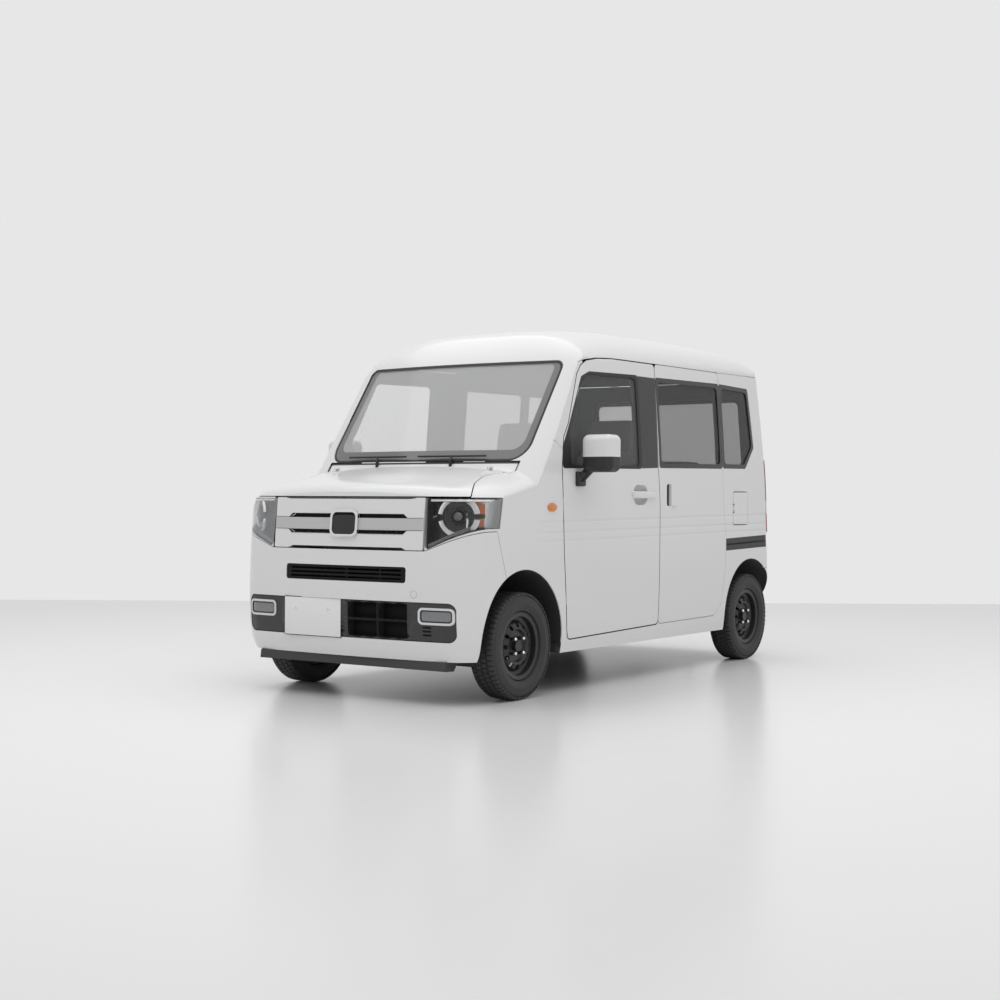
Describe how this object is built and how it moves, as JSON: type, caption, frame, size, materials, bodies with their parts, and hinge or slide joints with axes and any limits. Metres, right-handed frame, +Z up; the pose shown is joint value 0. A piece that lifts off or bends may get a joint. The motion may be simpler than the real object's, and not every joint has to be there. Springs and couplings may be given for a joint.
{
  "type": "high-roof kei van",
  "caption": "Small white high-roof van with front hinged doors, sliding side doors, top-hinged tailgate, bonnet and four black steel wheels.",
  "frame": {"origin": "ground level under the middle of the bounding box", "axes": "+Z up, -Y towards the front, +X towards the van's left side"},
  "size_m": [1.889, 3.3953, 1.9455],
  "materials": {
    "paint": "gloss white",
    "privacy_glass": "dark tint",
    "clear_glass": "clear",
    "grille_white": "gloss",
    "black_plastic": "satin",
    "lamp_silver": "bright",
    "lamp_red": "gloss",
    "trim_grey": "matt",
    "trim_black": "matt",
    "seat_cloth": "woven",
    "underbody": "matt",
    "cast_alloy": "cast",
    "chassis_steel": "satin",
    "exhaust_steel": "dull",
    "wheel_black": "satin black",
    "tyre": "rubber"
  },
  "bodies": {
    "body_shell": {"roof_panel": "paint", "side_panel_left": "paint", "side_panel_right": "paint", "front_wings": "paint", "front_bumper": "paint", "rear_bumper": "paint", "sliding_doors": "paint", "side_glass": "privacy_glass", "windscreen": "clear_glass", "upper_grille": "grille_white", "lower_grille": "black_plastic", "bumper_lip": "black_plastic", "headlamps": "lamp_silver", "headlamp_lenses": "clear_glass", "fog_lamps": "lamp_silver", "wipers": "black_plastic", "tail_lamps": "lamp_red", "slide_rails": "black_plastic", "cowl": "black_plastic", "dashboard": "trim_grey", "front_seats": "seat_cloth", "rear_seat": "seat_cloth", "floor_pan": "underbody", "engine_block": "cast_alloy", "front_suspension": "chassis_steel", "rear_axle": "chassis_steel", "fuel_tank": "underbody", "exhaust": "exhaust_steel"},
    "front_door_left": {"front_door_left": "paint", "front_door_glass_left": "clear_glass", "mirror_left": "paint"},
    "front_door_right": {"front_door_right": "paint", "front_door_glass_right": "clear_glass", "mirror_right": "paint"},
    "tailgate": {"tailgate": "paint", "tailgate_glass": "privacy_glass"},
    "bonnet": {"bonnet": "paint"},
    "fuel_lid": {"fuel_lid": "paint"},
    "knuckle_left": {"knuckle_left": "chassis_steel"},
    "knuckle_right": {"knuckle_right": "chassis_steel"},
    "wheel_front_left": {"rim_front_left": "wheel_black", "tyre_front_left": "tyre"},
    "wheel_front_right": {"rim_front_right": "wheel_black", "tyre_front_right": "tyre"},
    "wheel_rear_left": {"rim_rear_left": "wheel_black", "tyre_rear_left": "tyre"},
    "wheel_rear_right": {"rim_rear_right": "wheel_black", "tyre_rear_right": "tyre"},
    "steering_wheel": {"steering_wheel": "trim_black"}
  },
  "joints": [
    {"name": "steer_left", "type": "hinge", "parent": "body_shell", "child": "knuckle_left", "pos_m": [0.59, -1.1925, 0.265], "axis": [0, 0, 1], "range_deg": [-32, 32]},
    {"name": "spin_front_left", "type": "hinge", "parent": "knuckle_left", "child": "wheel_front_left", "pos_m": [0.655, -1.1925, 0.265], "axis": [1, 0, 0], "continuous": true},
    {"name": "spin_rear_left", "type": "hinge", "parent": "body_shell", "child": "wheel_rear_left", "pos_m": [0.6525, 1.3275, 0.265], "axis": [1, 0, 0], "continuous": true},
    {"name": "door_left", "type": "hinge", "parent": "body_shell", "child": "front_door_left", "pos_m": [0.7255, -0.7895, 0.7], "axis": [0, 0, -1], "range_deg": [0, 65]},
    {"name": "steer_right", "type": "hinge", "parent": "body_shell", "child": "knuckle_right", "pos_m": [-0.59, -1.1925, 0.265], "axis": [0, 0, 1], "range_deg": [-32, 32]},
    {"name": "spin_front_right", "type": "hinge", "parent": "knuckle_right", "child": "wheel_front_right", "pos_m": [-0.655, -1.1925, 0.265], "axis": [1, 0, 0], "continuous": true},
    {"name": "spin_rear_right", "type": "hinge", "parent": "body_shell", "child": "wheel_rear_right", "pos_m": [-0.6525, 1.3275, 0.265], "axis": [1, 0, 0], "continuous": true},
    {"name": "door_right", "type": "hinge", "parent": "body_shell", "child": "front_door_right", "pos_m": [-0.7255, -0.7895, 0.7], "axis": [0, 0, 1], "range_deg": [0, 65]},
    {"name": "tailgate_hinge", "type": "hinge", "parent": "body_shell", "child": "tailgate", "pos_m": [0, 1.6, 1.748], "axis": [1, 0, 0], "range_deg": [0, 82]},
    {"name": "bonnet_hinge", "type": "hinge", "parent": "body_shell", "child": "bonnet", "pos_m": [0, -1.1595, 1.142], "axis": [-1, 0, 0], "range_deg": [0, 45]},
    {"name": "fuel_lid_hinge", "type": "hinge", "parent": "body_shell", "child": "fuel_lid", "pos_m": [0.7327, 1.0955, 0.935], "axis": [0, 0, -1], "range_deg": [0, 85]},
    {"name": "steering_wheel_turn", "type": "hinge", "parent": "body_shell", "child": "steering_wheel", "pos_m": [-0.33, -0.5795, 0.969], "axis": [0, 0.9171, 0.3987], "range_deg": [-460, 460]}
  ],
  "couplings": [
    {"joint": "steer_right", "follows": "steer_left", "ratio": 1},
    {"joint": "steering_wheel_turn", "follows": "steer_left", "ratio": 14}
  ]
}
